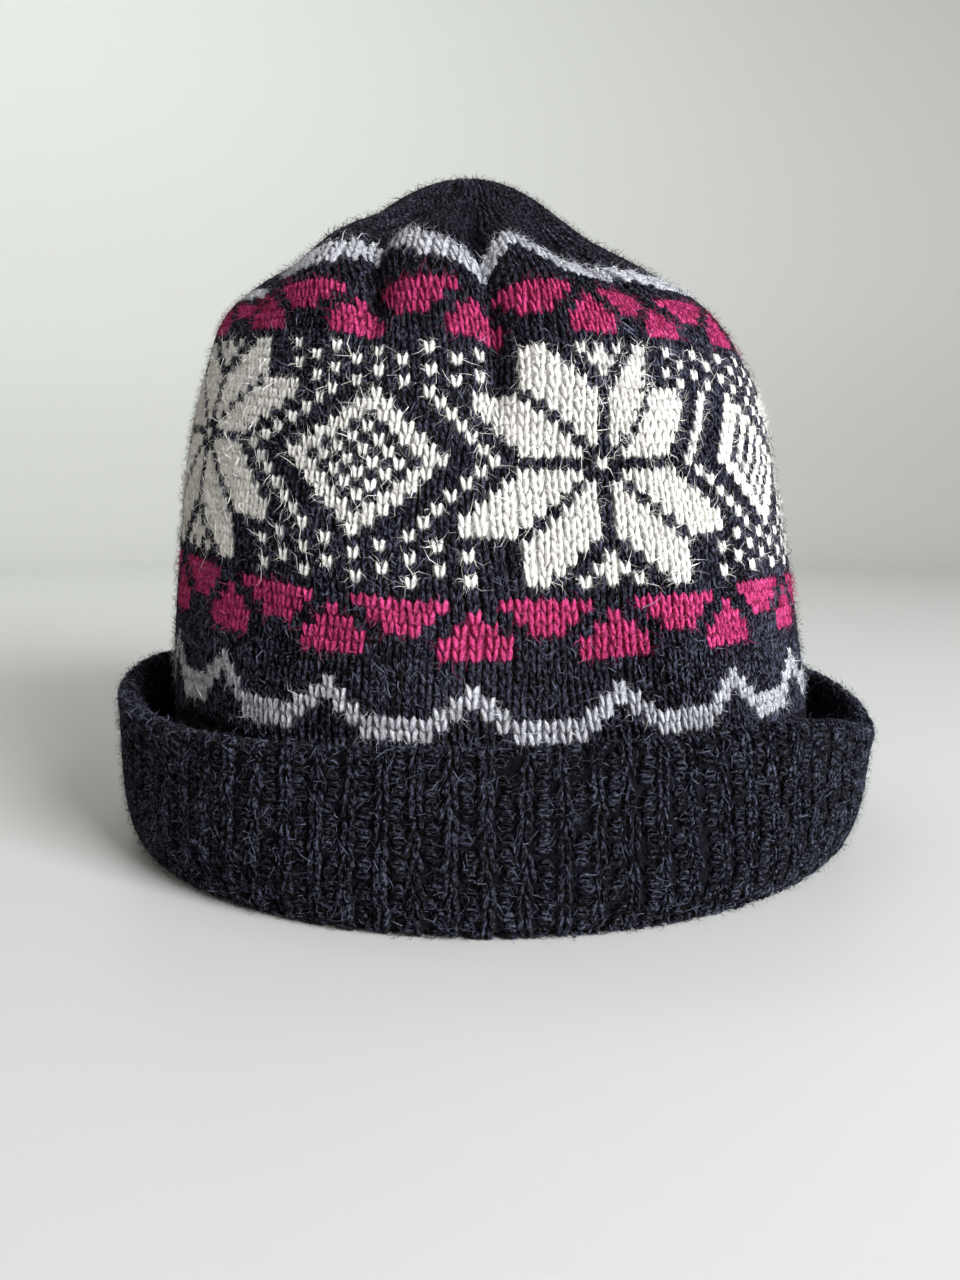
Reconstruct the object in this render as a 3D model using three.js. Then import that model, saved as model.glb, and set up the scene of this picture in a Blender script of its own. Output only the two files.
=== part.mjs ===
// A knitted wool beanie with a turned-up rib cuff, standing on its folded lower edge.
// Millimetres, +Z up. The front faces -Y: azimuth 0 is the front, and 90 degrees is +X.

import * as THREE from 'three';

const { degToRad, euclideanModulo, lerp, smoothstep } = THREE.MathUtils;

// Thickness of the knitting: two yarns carried together in the crown, thick ribbing in the cuff.
const CROWN_WALL = 3.6;
const RIB_WALL = 4.6;

// The crown is knitted on to the top of the ribbing at this height.
const JOIN_HEIGHT = 38;
const JOIN_GAP = 0.4;

// Outside of the crown from its lower edge up to the tip, and how far its axis leans along X.
const CROWN_SECTIONS = [
  { height: JOIN_HEIGHT + JOIN_GAP, radius: 97.4, lean: 0 },
  { height: 60, radius: 95.2, lean: -1.4 },
  { height: 82, radius: 92.3, lean: -2.2 },
  { height: 101, radius: 89.4, lean: -3.2 },
  { height: 119.5, radius: 85.9, lean: -3.4 },
  { height: 135, radius: 81.2, lean: -4 },
  { height: 149, radius: 74.6, lean: -6.2 },
  { height: 160, radius: 62, lean: -8.6 },
  { height: 169.5, radius: 46.5, lean: -8.8 },
  { height: 177.5, radius: 34.5, lean: -7.7 },
  { height: 184.3, radius: 24.2, lean: -7 },
  { height: 189.7, radius: 14, lean: -7 },
  { height: 192.4, radius: 6, lean: -7.2 },
  { height: 193.2, radius: 0, lean: -7.2 },
];

// Above the shoulder the crown is fuller in some places round it than in others.
const FULLNESS = [
  { azimuth: 0, swell: 5 },
  { azimuth: 8, swell: 5 },
  { azimuth: 24, swell: -1.5 },
  { azimuth: 50, swell: -1 },
  { azimuth: 90, swell: 0 },
  { azimuth: 180, swell: 4.5 },
  { azimuth: 270, swell: 0 },
  { azimuth: 300, swell: -1.5 },
  { azimuth: 318, swell: -0.5 },
  { azimuth: 337, swell: 5.5 },
  { azimuth: 350, swell: 5.5 },
];
const FULLNESS_LOW = 138;
const FULLNESS_MIDDLE = 160;
const FULLNESS_HIGH = 188;

// Creases where the full width of knitting is gathered in over the shoulder.
// Each has its azimuth at its foot and at its top, its depth and half width, and the heights
// that it fades in between.
const CREASES = [
  { foot: 3, top: 6, depth: 8, width: 8, low: 104, high: 190 },
  { foot: -18, top: -16, depth: 6, width: 8, low: 126, high: 188 },
  { foot: -46, top: -60, depth: 3, width: 9, low: 136, high: 186 },
  { foot: 38, top: 34, depth: 3.5, width: 9, low: 134, high: 188 },
  { foot: 72, top: 70, depth: 5, width: 9, low: 128, high: 190 },
  { foot: 105, top: 105, depth: 4, width: 10, low: 134, high: 188 },
  { foot: 140, top: 142, depth: 6.5, width: 9, low: 116, high: 190 },
  { foot: 172, top: 174, depth: 4, width: 10, low: 134, high: 188 },
  { foot: 208, top: 206, depth: 5.5, width: 9, low: 120, high: 190 },
  { foot: 244, top: 242, depth: 4, width: 10, low: 134, high: 188 },
  { foot: 280, top: 282, depth: 5, width: 9, low: 126, high: 190 },
];
const CREASE_FADE = 22;

// The cuff's turned-up edge, round the hat: level in front, drooping into a spout at the right.
const RIM = [
  { azimuth: 0, height: 42.4, radius: 106 },
  { azimuth: 16, height: 42.8, radius: 106 },
  { azimuth: 32, height: 43.6, radius: 108 },
  { azimuth: 44, height: 43.2, radius: 110.5 },
  { azimuth: 54, height: 40.5, radius: 113.5 },
  { azimuth: 67, height: 34.5, radius: 116.2 },
  { azimuth: 80, height: 37.5, radius: 114.5 },
  { azimuth: 95, height: 40, radius: 113 },
  { azimuth: 118, height: 43, radius: 112 },
  { azimuth: 150, height: 45, radius: 111.5 },
  { azimuth: 182, height: 45.5, radius: 112 },
  { azimuth: 215, height: 45, radius: 112.5 },
  { azimuth: 243, height: 44.6, radius: 113 },
  { azimuth: 265, height: 46.8, radius: 113.4 },
  { azimuth: 290, height: 44, radius: 113.2 },
  { azimuth: 304, height: 42, radius: 112.6 },
  { azimuth: 321, height: 41, radius: 110.5 },
  { azimuth: 337, height: 41.5, radius: 107.5 },
];

// The cuff's outer leg: how it bellies out, at fractions of the way up to the rim.
const OUTER_LEG = [
  { up: 0.05, belly: 0.4 },
  { up: 0.18, belly: 2 },
  { up: 0.4, belly: 2.2 },
  { up: 0.65, belly: 1.2 },
  { up: 0.85, belly: 0.4 },
];

// The cuff's inner leg, inside the turn-up: its outer face at three heights.
const INNER_LEG = [
  { height: 9, radius: 99 },
  { height: 22, radius: 98 },
  { height: JOIN_HEIGHT, radius: 97.4 },
];

// The fold that the hat stands on, pressed flat by the surface under it.
const FOOT_INNER_RADIUS = 96;
const FOOT_OUTER_RADIUS = 106.6;
const FOOT_SIDE_RADIUS = 108.4;

// One rib is a knit column standing up beside a purl column lying back.
const RIB_COUNT = 85;
const RIB_RELIEF = 1;
const CUFF_FINE_POINTS = 2 * RIB_COUNT;
const CUFF_COARSE_POINTS = RIB_COUNT;
const RIM_ARC_STEPS = 3;

const CROWN_POINTS = 90;
const CROWN_RINGS = 17;

// Charcoal black wool, a shade lighter in the crown.
const CROWN_COLOUR = 0x23252c;
const CUFF_COLOUR = 0x1a1d25;
const WOOL_ROUGHNESS = 0.95;

// A point from its azimuth, radius and height, round an axis that leans along X.
function aroundAxis(azimuth, radius, height, lean = 0) {
  const angle = degToRad(azimuth);
  return new THREE.Vector3(lean + radius * Math.sin(angle), -radius * Math.cos(angle), height);
}

function ring(pointCount, pointAt) {
  return Array.from({ length: pointCount }, (unused, index) => pointAt((360 * index) / pointCount, index));
}

// Triangles between two neighbouring rings: alike, one twice as fine as the other, or one a pole.
function bridge(lower, upper, triangles) {
  const cells = Math.min(lower.length, upper.length);
  const at = (points, index) => points[index % points.length];
  if (lower.length === upper.length) {
    for (let i = 0; i < cells; i += 1) {
      triangles.push([at(lower, i), at(lower, i + 1), at(upper, i)]);
      triangles.push([at(lower, i + 1), at(upper, i + 1), at(upper, i)]);
    }
  } else if (lower.length === 1) {
    upper.forEach((point, i) => triangles.push([lower[0], at(upper, i + 1), point]));
  } else if (upper.length === 1) {
    lower.forEach((point, i) => triangles.push([point, at(lower, i + 1), upper[0]]));
  } else if (lower.length > upper.length) {
    for (let i = 0; i < cells; i += 1) {
      triangles.push([at(lower, 2 * i), at(lower, 2 * i + 1), at(upper, i)]);
      triangles.push([at(lower, 2 * i + 1), at(upper, i + 1), at(upper, i)]);
      triangles.push([at(lower, 2 * i + 1), at(lower, 2 * i + 2), at(upper, i + 1)]);
    }
  } else {
    for (let i = 0; i < cells; i += 1) {
      triangles.push([at(lower, i), at(lower, i + 1), at(upper, 2 * i + 1)]);
      triangles.push([at(lower, i), at(upper, 2 * i + 1), at(upper, 2 * i)]);
      triangles.push([at(lower, i + 1), at(upper, 2 * i + 2), at(upper, 2 * i + 1)]);
    }
  }
}

// A closed body from rings in order round its wall. A loop's last ring meets its first.
function wallGeometry(rings, isLoop) {
  const triangles = [];
  for (let i = 0; i + 1 < rings.length; i += 1) {
    bridge(rings[i], rings[i + 1], triangles);
  }
  if (isLoop) {
    bridge(rings[rings.length - 1], rings[0], triangles);
  }
  const points = rings.flat();
  const indexOf = new Map(points.map((point, index) => [point, index]));
  const geometry = new THREE.BufferGeometry().setFromPoints(points);
  geometry.setIndex(triangles.flat().map((point) => indexOf.get(point)));
  geometry.computeVertexNormals();
  return geometry;
}

// The crown's outline as one smooth curve whose points hold radius, lean and height.
const MERIDIAN = new THREE.CatmullRomCurve3(
  CROWN_SECTIONS.map(({ radius, lean, height }) => new THREE.Vector3(radius, lean, height)),
  false,
  'centripetal',
);

// How far the creases press the crown in at one place.
function creaseDepth(azimuth, radius, height) {
  let depth = 0;
  for (const crease of CREASES) {
    const wayUp = (height - crease.low) / (crease.high - crease.low);
    const middle = lerp(crease.foot, crease.top, Math.min(Math.max(wayUp, 0), 1));
    const aside = euclideanModulo(azimuth - middle + 180, 360) - 180;
    const across = (radius * degToRad(aside)) / crease.width;
    const fadeIn = smoothstep(height, crease.low, crease.low + CREASE_FADE);
    const fadeOut = 1 - smoothstep(height, crease.high - CREASE_FADE, crease.high);
    depth += crease.depth * fadeIn * fadeOut * Math.exp(-across * across);
  }
  return depth;
}

// A smooth curve through one column of a table, round the hat and back to its start.
function roundCurve(table, column) {
  const rows = [...table, { ...table[0], azimuth: table[0].azimuth + 360 }];
  const curve = new THREE.CubicInterpolant(
    rows.map((row) => row.azimuth),
    rows.map((row) => row[column]),
    1,
  );
  curve.settings = { endingStart: THREE.WrapAroundEnding, endingEnd: THREE.WrapAroundEnding };
  return (azimuth) => curve.evaluate(azimuth)[0];
}

const swellAt = roundCurve(FULLNESS, 'swell');
const rimHeight = roundCurve(RIM, 'height');
const rimRadius = roundCurve(RIM, 'radius');

// How far the crown swells out at one place.
function fullness(azimuth, height) {
  const rise = smoothstep(height, FULLNESS_LOW, FULLNESS_MIDDLE);
  const fall = 1 - smoothstep(height, FULLNESS_MIDDLE, FULLNESS_HIGH);
  return swellAt(azimuth) * rise * fall;
}

// A ring of the crown's wall, some way along its outline and set in from its outer face.
function crownRing(along, inset) {
  const { x: radius, y: lean, z: height } = MERIDIAN.getPointAt(along);
  if (along === 1) {
    return [aroundAxis(0, 0, height - inset, lean)];
  }
  const tangent = MERIDIAN.getTangentAt(along);
  const length = Math.hypot(tangent.x, tangent.z);
  return ring(CROWN_POINTS, (azimuth) => {
    const inward = inset + creaseDepth(azimuth, radius, height) - fullness(azimuth, height);
    const pressedRadius = radius - (inward * tangent.z) / length;
    const pressedHeight = height + (inward * tangent.x) / length;
    return aroundAxis(azimuth, pressedRadius, pressedHeight, lean);
  });
}

function crownGeometry() {
  const rings = [];
  for (let i = CROWN_RINGS; i >= 0; i -= 1) {
    rings.push(crownRing(i / CROWN_RINGS, CROWN_WALL));
  }
  for (let i = 0; i <= CROWN_RINGS; i += 1) {
    rings.push(crownRing(i / CROWN_RINGS, 0));
  }
  return wallGeometry(rings, false);
}

// The outer leg's outside at a fraction of the way up to the rim.
function legRadius(azimuth, { up, belly }) {
  return FOOT_SIDE_RADIUS + (rimRadius(azimuth) - FOOT_SIDE_RADIUS) * up + belly;
}

// Knit columns stand at even points and purl columns at odd ones.
const ribRelief = (index) => (index % 2 === 0 ? RIB_RELIEF / 2 : -RIB_RELIEF / 2);

function footRing(radius, pointCount) {
  return ring(pointCount, (azimuth) => aroundAxis(azimuth, radius, 0));
}

function outerLegRing(row) {
  return ring(CUFF_FINE_POINTS, (azimuth, index) => {
    const radius = legRadius(azimuth, row) + ribRelief(index);
    return aroundAxis(azimuth, radius, row.up * rimHeight(azimuth));
  });
}

// The rounded edge of the turn-up, from its outside at turn 0 to its inside at turn 1.
function rimRing(turn) {
  const edge = RIB_WALL / 2;
  const isInside = turn === 1;
  return ring(isInside ? CUFF_COARSE_POINTS : CUFF_FINE_POINTS, (azimuth, index) => {
    const relief = isInside ? 0 : ribRelief(index) * (1 - turn);
    const radius = rimRadius(azimuth) - edge + edge * Math.cos(Math.PI * turn) + relief;
    const height = rimHeight(azimuth) - edge + edge * Math.sin(Math.PI * turn);
    return aroundAxis(azimuth, radius, height);
  });
}

function legLiningRing(row) {
  return ring(CUFF_COARSE_POINTS, (azimuth) =>
    aroundAxis(azimuth, legRadius(azimuth, row) - RIB_WALL, row.up * rimHeight(azimuth)),
  );
}

function innerLegRing({ radius, height }, inset) {
  return ring(CUFF_COARSE_POINTS, (azimuth) => aroundAxis(azimuth, radius - inset, height));
}

function cuffGeometry() {
  const rings = [];
  rings.push(footRing(FOOT_INNER_RADIUS, CUFF_COARSE_POINTS));
  rings.push(footRing(FOOT_OUTER_RADIUS, CUFF_FINE_POINTS));
  OUTER_LEG.forEach((row) => rings.push(outerLegRing(row)));
  for (let i = 0; i <= RIM_ARC_STEPS; i += 1) {
    rings.push(rimRing(i / RIM_ARC_STEPS));
  }
  OUTER_LEG.slice(1).reverse().forEach((row) => rings.push(legLiningRing(row)));
  const channelFloor = { radius: (FOOT_INNER_RADIUS + FOOT_OUTER_RADIUS) / 2, height: RIB_WALL };
  rings.push(innerLegRing(channelFloor, 0));
  INNER_LEG.forEach((row) => rings.push(innerLegRing(row, 0)));
  [...INNER_LEG].reverse().forEach((row) => rings.push(innerLegRing(row, RIB_WALL)));
  return wallGeometry(rings, true);
}

function knittedMesh(name, geometry, color) {
  const material = new THREE.MeshStandardMaterial({ color, roughness: WOOL_ROUGHNESS, metalness: 0 });
  const mesh = new THREE.Mesh(geometry, material);
  mesh.name = name;
  return mesh;
}

// The hat's own axis stands a little aside, so that the middle of its outline is over the origin.
const beanie = new THREE.Group();
beanie.add(knittedMesh('crown', crownGeometry(), CROWN_COLOUR));
beanie.add(knittedMesh('cuff', cuffGeometry(), CUFF_COLOUR));
const middle = new THREE.Box3().setFromObject(beanie).getCenter(new THREE.Vector3());
beanie.position.set(-middle.x, -middle.y, 0);
beanie.updateMatrixWorld(true);

export default beanie;
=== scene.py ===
"""Looks of a knitted wool beanie: its yarn, ribbing and fuzz, with light and camera."""

import math

import bpy
import numpy as np
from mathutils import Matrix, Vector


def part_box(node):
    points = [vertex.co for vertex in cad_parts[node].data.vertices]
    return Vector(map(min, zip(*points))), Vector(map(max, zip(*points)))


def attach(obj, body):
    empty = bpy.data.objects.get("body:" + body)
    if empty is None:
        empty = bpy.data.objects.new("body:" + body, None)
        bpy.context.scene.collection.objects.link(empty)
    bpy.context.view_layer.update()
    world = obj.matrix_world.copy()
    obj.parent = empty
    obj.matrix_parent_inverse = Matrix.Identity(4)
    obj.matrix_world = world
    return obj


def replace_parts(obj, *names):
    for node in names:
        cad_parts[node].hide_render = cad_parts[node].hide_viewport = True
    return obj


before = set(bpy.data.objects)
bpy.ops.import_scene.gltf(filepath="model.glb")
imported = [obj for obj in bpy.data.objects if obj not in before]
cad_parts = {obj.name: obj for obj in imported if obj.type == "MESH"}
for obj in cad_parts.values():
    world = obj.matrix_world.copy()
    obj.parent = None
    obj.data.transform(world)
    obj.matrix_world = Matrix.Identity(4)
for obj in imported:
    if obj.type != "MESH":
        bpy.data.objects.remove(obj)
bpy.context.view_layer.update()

# Lengths are millimetres and angles degrees until a mesh is made. Azimuth 0 is the front, 90 is +X.
MM = 0.001
rng = np.random.default_rng(7)

# Where the hat's own axis stands along Y. Along X it is over the origin.
crown_low, crown_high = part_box("crown")
AXIS_Y = (crown_low.y + crown_high.y) / 2 / MM

# Outside of the crown, as the solid has it.
CROWN_WALL = 3.6
CROWN_SECTIONS = (
    # height, radius, lean
    (38.4, 97.4, 0.0),
    (60.0, 95.2, -1.4),
    (82.0, 92.3, -2.2),
    (101.0, 89.4, -3.2),
    (119.5, 85.9, -3.4),
    (135.0, 81.2, -4.0),
    (149.0, 74.6, -6.2),
    (160.0, 62.0, -8.6),
    (169.5, 46.5, -8.8),
    (177.5, 34.5, -7.7),
    (184.3, 24.2, -7.0),
    (189.7, 14.0, -7.0),
    (192.4, 6.0, -7.2),
    (193.2, 0.0, -7.2),
)
FULLNESS = (
    # azimuth, swell
    (0, 5.0),
    (8, 5.0),
    (24, -1.5),
    (50, -1.0),
    (90, 0.0),
    (180, 4.5),
    (270, 0.0),
    (300, -1.5),
    (318, -0.5),
    (337, 5.5),
    (350, 5.5),
)
FULLNESS_LOW = 138
FULLNESS_MIDDLE = 160
FULLNESS_HIGH = 188
# The creases lie where the solid's do, but they are narrower and a little deeper.
CREASES = (
    # azimuth at its foot, azimuth at its top, depth, width, low, high
    (3, 6, 9.0, 5.5, 104, 190),
    (-18, -16, 7.5, 5.5, 126, 188),
    (-46, -60, 4.0, 6.0, 136, 186),
    (38, 34, 4.5, 6.0, 134, 188),
    (72, 70, 5.5, 6.0, 128, 190),
    (105, 105, 4.5, 6.5, 134, 188),
    (140, 142, 7.0, 6.0, 116, 190),
    (172, 174, 4.5, 6.5, 134, 188),
    (208, 206, 6.0, 6.0, 120, 190),
    (244, 242, 4.5, 6.5, 134, 188),
    (280, 282, 5.5, 6.0, 126, 190),
)
CREASE_FADE = 22
# How sharp a crease's bottom is: 1 is a sharp fold, 2 a round valley.
CREASE_POWER = 1.3

# Turned-up rib cuff, as the solid has it.
RIB_WALL = 4.6
RIM = (
    # azimuth, height, radius
    (0, 42.4, 106.0),
    (16, 42.8, 106.0),
    (32, 43.6, 108.0),
    (44, 43.2, 110.5),
    (54, 40.5, 113.5),
    (67, 34.5, 116.2),
    (80, 37.5, 114.5),
    (95, 40.0, 113.0),
    (118, 43.0, 112.0),
    (150, 45.0, 111.5),
    (182, 45.5, 112.0),
    (215, 45.0, 112.5),
    (243, 44.6, 113.0),
    (265, 46.8, 113.4),
    (290, 44.0, 113.2),
    (304, 42.0, 112.6),
    (321, 41.0, 110.5),
    (337, 41.5, 107.5),
)
OUTER_LEG = (
    # fraction of the way up, belly
    (0.05, 0.4),
    (0.18, 2.0),
    (0.40, 2.2),
    (0.65, 1.2),
    (0.85, 0.4),
)
INNER_LEG = (
    # height, radius
    (9.0, 99.0),
    (22.0, 98.0),
    (38.0, 97.4),
)
FOOT_INNER_RADIUS = 96.0
FOOT_OUTER_RADIUS = 106.6
FOOT_SIDE_RADIUS = 108.4

# Gauge of the knitting.
ROW_HEIGHT = 2.73
FIRST_ROW_ALONG = 3.1
ROUNDS = (
    # first row, stitches, azimuth of the first
    (-1, 180, 17.45),
    (40, 120, 6.95),
    (53, 80, 6.95),
    (60, 52, 6.95),
    (65, 34, 6.95),
    (68, 20, 6.95),
    (71, 10, 6.95),
)
# The crown's front is pulled wider than its back, by this many degrees at the sides.
FRONT_STRETCH = 1.85
# How many degrees the columns lean aside: all of them, those left of the front, and those right of it.
LEAN = (
    # row, all, left, right
    (2, 1.0, -1.5, 0.0),
    (9, 1.3, 0.6, 0.0),
    (16, 1.4, -1.7, 0.8),
    (23, 1.4, 0.0, -0.5),
    (30, 2.2, 3.0, -8.0),
    (37, 3.6, -1.2, -6.0),
    (44, 6.5, 0.0, -4.5),
)
LEFT_LEAN_AZIMUTH = -35.0
LEFT_LEAN_REACH = 28.0
RIGHT_LEAN = (
    # azimuth, share of the lean
    (0, 0.0),
    (18, 0.0),
    (38, 1.0),
    (80, 1.0),
    (150, 0.0),
    (270, 0.0),
)
# The rows climb towards the sides of the hat, most at its left.
CLIMB = (
    # row, rows climbed
    (-1.2, 0.0),
    (1, 2.2),
    (9, 3.3),
    (23, 4.7),
    (33, 3.4),
    (38, 2.5),
    (43, 0.0),
)
CLIMB_ROUND = (
    # azimuth, share of the climb
    (0, 0.0),
    (20, 0.0),
    (70, 0.3),
    (150, 0.0),
    (200, 0.0),
    (270, 1.0),
    (285, 1.0),
    (312, 0.68),
    (346, 0.0),
)
# Over these rows, and fully above them, the columns are drawn together into the fold in front.
GATHER_ROWS = (38, 43)
GATHER_AZIMUTH = 4.0
GATHER_DEGREES = 2.5
GATHER_WIDTH = 6.0
GATHER_REACH = 50.0
CUFF_STITCHES = 170
RIB_COLUMNS = CUFF_STITCHES // 2

BLACK, WHITE, BURGUNDY, GREY = range(4)


def smoothstep(value, low, high):
    t = np.clip((value - low) / (high - low), 0, 1)
    return t * t * (3 - 2 * t)


# Curves

def centripetal_curve(knots, steps):
    """Dense points on the centripetal Catmull-Rom curve through the knots."""
    knots = np.asarray(knots, float)
    ends = np.vstack([2 * knots[0] - knots[1], knots, 2 * knots[-1] - knots[-2]])
    t = np.linspace(0, 1, steps, endpoint=False)[:, None]
    dense = []
    for p0, p1, p2, p3 in zip(ends, ends[1:], ends[2:], ends[3:]):
        d0, d1, d2 = (np.sqrt(np.linalg.norm(b - a)) for a, b in ((p0, p1), (p1, p2), (p2, p3)))
        start = ((p1 - p0) / d0 - (p2 - p0) / (d0 + d1) + (p2 - p1) / d1) * d1
        end = ((p2 - p1) / d1 - (p3 - p1) / (d1 + d2) + (p3 - p2) / d2) * d1
        square = -3 * p1 + 3 * p2 - 2 * start - end
        cube = 2 * p1 - 2 * p2 + start + end
        dense.append(p1 + start * t + square * t**2 + cube * t**3)
    return np.vstack(dense + [knots[-1:]])


def periodic_curve(degrees, values, at):
    """A smooth curve round the hat through one column of a table."""
    x = np.concatenate([np.asarray(degrees[-1:], float) - 360, degrees, np.asarray(degrees[:2], float) + 360])
    y = np.concatenate([values[-1:], values, values[:2]])
    step = np.diff(y) / np.diff(x)
    slope = (step[:-1] + step[1:]) / 2
    wrapped = np.mod(at, 360)
    i = np.clip(np.searchsorted(x, wrapped, side="right") - 1, 1, len(x) - 3)
    width = x[i + 1] - x[i]
    t = (wrapped - x[i]) / width
    return (
        (1 + 2 * t) * (1 - t) ** 2 * y[i]
        + t * (1 - t) ** 2 * width * slope[i - 1]
        + t * t * (3 - 2 * t) * y[i + 1]
        + t * t * (t - 1) * width * slope[i]
    )


def around_axis(azimuth, radius, height, lean=0.0):
    angle = np.radians(azimuth)
    x = lean + radius * np.sin(angle)
    y = AXIS_Y - radius * np.cos(angle)
    return np.stack(np.broadcast_arrays(x, y, height), axis=-1)


# The crown's surface

MERIDIAN_STEPS = 24
meridian_knots = [(radius, lean, height) for height, radius, lean in CROWN_SECTIONS]
meridian = centripetal_curve(meridian_knots, MERIDIAN_STEPS)
meridian_along = np.concatenate([[0], np.cumsum(np.linalg.norm(np.diff(meridian, axis=0), axis=1))])
meridian_slope = np.gradient(meridian[:, [0, 2]], meridian_along, axis=0)
meridian_slope /= np.linalg.norm(meridian_slope, axis=1, keepdims=True)
CROWN_LENGTH = meridian_along[-1]


def along_of_row(row):
    return FIRST_ROW_ALONG + np.asarray(row) * ROW_HEIGHT


def crown_radius(row):
    return np.interp(along_of_row(row), meridian_along, meridian[:, 0])


def round_of_row(row):
    """How many stitches a round has, and the azimuth of its first."""
    return [(count, start) for first, count, start in ROUNDS if row >= first][-1]


def column_place(azimuth, row):
    """The azimuth at which a column that starts at an even place lies in a row."""
    rows, *leans = zip(*LEAN)
    every, left, right = (np.interp(row, rows, lean) for lean in leans)
    from_left = np.mod(azimuth - LEFT_LEAN_AZIMUTH + 180, 360) - 180
    left = left * np.exp(-((from_left / LEFT_LEAN_REACH) ** 2))
    right = right * periodic_curve(*zip(*RIGHT_LEAN), azimuth)
    carried = azimuth + FRONT_STRETCH * np.sin(np.radians(azimuth)) + every + left + right
    aside = np.mod(carried - GATHER_AZIMUTH + 180, 360) - 180
    drawn = GATHER_DEGREES * np.tanh(aside / GATHER_WIDTH) * np.exp(-((aside / GATHER_REACH) ** 2))
    return carried - drawn * smoothstep(row, *GATHER_ROWS)


def crease_depth(azimuth, radius, height):
    depth = 0
    for foot, top, deep, width, low, high in CREASES:
        middle = foot + (top - foot) * np.clip((height - low) / (high - low), 0, 1)
        aside = np.mod(azimuth - middle + 180, 360) - 180
        across = radius * np.radians(np.abs(aside)) / width
        fade_in = smoothstep(height, low, low + CREASE_FADE)
        fade_out = 1 - smoothstep(height, high - CREASE_FADE, high)
        depth = depth + deep * fade_in * fade_out * np.exp(-across**CREASE_POWER)
    return depth


def fullness(azimuth, height):
    """How far the crown swells out above its shoulder."""
    swell = periodic_curve(*zip(*FULLNESS), azimuth)
    rise = smoothstep(height, FULLNESS_LOW, FULLNESS_MIDDLE)
    fall = 1 - smoothstep(height, FULLNESS_MIDDLE, FULLNESS_HIGH)
    return swell * rise * fall


def climb(azimuth, row):
    return np.interp(row, *zip(*CLIMB)) * periodic_curve(*zip(*CLIMB_ROUND), azimuth)


def crown_place(azimuth, row, lift):
    """A point of the crown, some way up its rows and lifted off its surface."""
    along = np.clip(along_of_row(row + climb(azimuth, row)), 0, CROWN_LENGTH)
    radius, lean, height = (np.interp(along, meridian_along, column) for column in meridian.T)
    slope_out, slope_up = (np.interp(along, meridian_along, column) for column in meridian_slope.T)
    inward = crease_depth(azimuth, radius, height) - fullness(azimuth, height) - lift
    return around_axis(azimuth, radius - inward * slope_up, height + inward * slope_out, lean)


# The cuff's surface

CUFF_AZIMUTHS = 720
PROFILE_STEPS = 160
PROFILE_CURVE_STEPS = 12
RIM_ARC_POINTS = 7
# The fold's underside is flat up to this far from its outer edge, which is a little off the floor.
FOLD_EDGE = 3.0
FOLD_EDGE_HEIGHT = 0.15
RIM_AZIMUTHS, RIM_HEIGHTS, RIM_RADII = zip(*RIM)


def leg_radius(azimuth, up, belly):
    radius = periodic_curve(RIM_AZIMUTHS, RIM_RADII, azimuth)
    return FOOT_SIDE_RADIUS + (radius - FOOT_SIDE_RADIUS) * up + belly


def cuff_profile(azimuth):
    """The cuff's outside at one azimuth: under the fold, up the turn-up, over its rim and down behind it."""
    top = periodic_curve(RIM_AZIMUTHS, RIM_HEIGHTS, azimuth)
    edge = RIB_WALL / 2
    points = [(FOOT_INNER_RADIUS, 0.0), (FOOT_OUTER_RADIUS - FOLD_EDGE, 0.0)]
    points.append((FOOT_OUTER_RADIUS, FOLD_EDGE_HEIGHT))
    points += [(leg_radius(azimuth, up, belly), up * top) for up, belly in OUTER_LEG]
    rim = leg_radius(azimuth, 1.0, 0.0)
    for turn in np.linspace(0, math.pi, RIM_ARC_POINTS):
        points.append((rim - edge + edge * math.cos(turn), top - edge + edge * math.sin(turn)))
    for up, belly in OUTER_LEG[:0:-1]:
        points.append((leg_radius(azimuth, up, belly) - RIB_WALL, up * top))
    return points


def cuff_tables():
    """Places and outward directions on the cuff, by azimuth and by fraction along its profile."""
    fractions = np.linspace(0, 1, PROFILE_STEPS)
    places = np.empty((CUFF_AZIMUTHS + 1, PROFILE_STEPS, 2))
    for i, azimuth in enumerate(np.linspace(0, 360, CUFF_AZIMUTHS + 1)):
        dense = centripetal_curve(cuff_profile(azimuth), PROFILE_CURVE_STEPS)
        along = np.concatenate([[0], np.cumsum(np.linalg.norm(np.diff(dense, axis=0), axis=1))])
        for axis in range(2):
            places[i, :, axis] = np.interp(fractions * along[-1], along, dense[:, axis])
    slope = np.gradient(places, axis=1)
    slope /= np.linalg.norm(slope, axis=2, keepdims=True)
    outward = np.stack([slope[..., 1], -slope[..., 0]], axis=-1)
    return places, outward, along[-1]


cuff_places, cuff_outward, CUFF_LENGTH = cuff_tables()
CUFF_ROW_HEIGHT = 2.75
CUFF_ROWS = int(CUFF_LENGTH / CUFF_ROW_HEIGHT)
# Stitches show from the turn of the fold to a little way behind the rim.
CUFF_FIRST_ROW = 2
CUFF_LAST_ROW = 28


def cuff_lookup(table, azimuth, fraction):
    """Values between the nearest entries of a table over azimuth and fraction."""
    a = np.mod(azimuth, 360) / 360 * CUFF_AZIMUTHS
    f = np.clip(fraction, 0, 1) * (PROFILE_STEPS - 1)
    i = np.minimum(a.astype(int), CUFF_AZIMUTHS - 1)
    j = np.minimum(f.astype(int), PROFILE_STEPS - 2)
    s = (a - i)[..., None]
    t = (f - j)[..., None]
    low = table[i, j] * (1 - s) + table[i + 1, j] * s
    high = table[i, j + 1] * (1 - s) + table[i + 1, j + 1] * s
    return low * (1 - t) + high * t


FLOOR_CLEARANCE = 0.05


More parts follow.
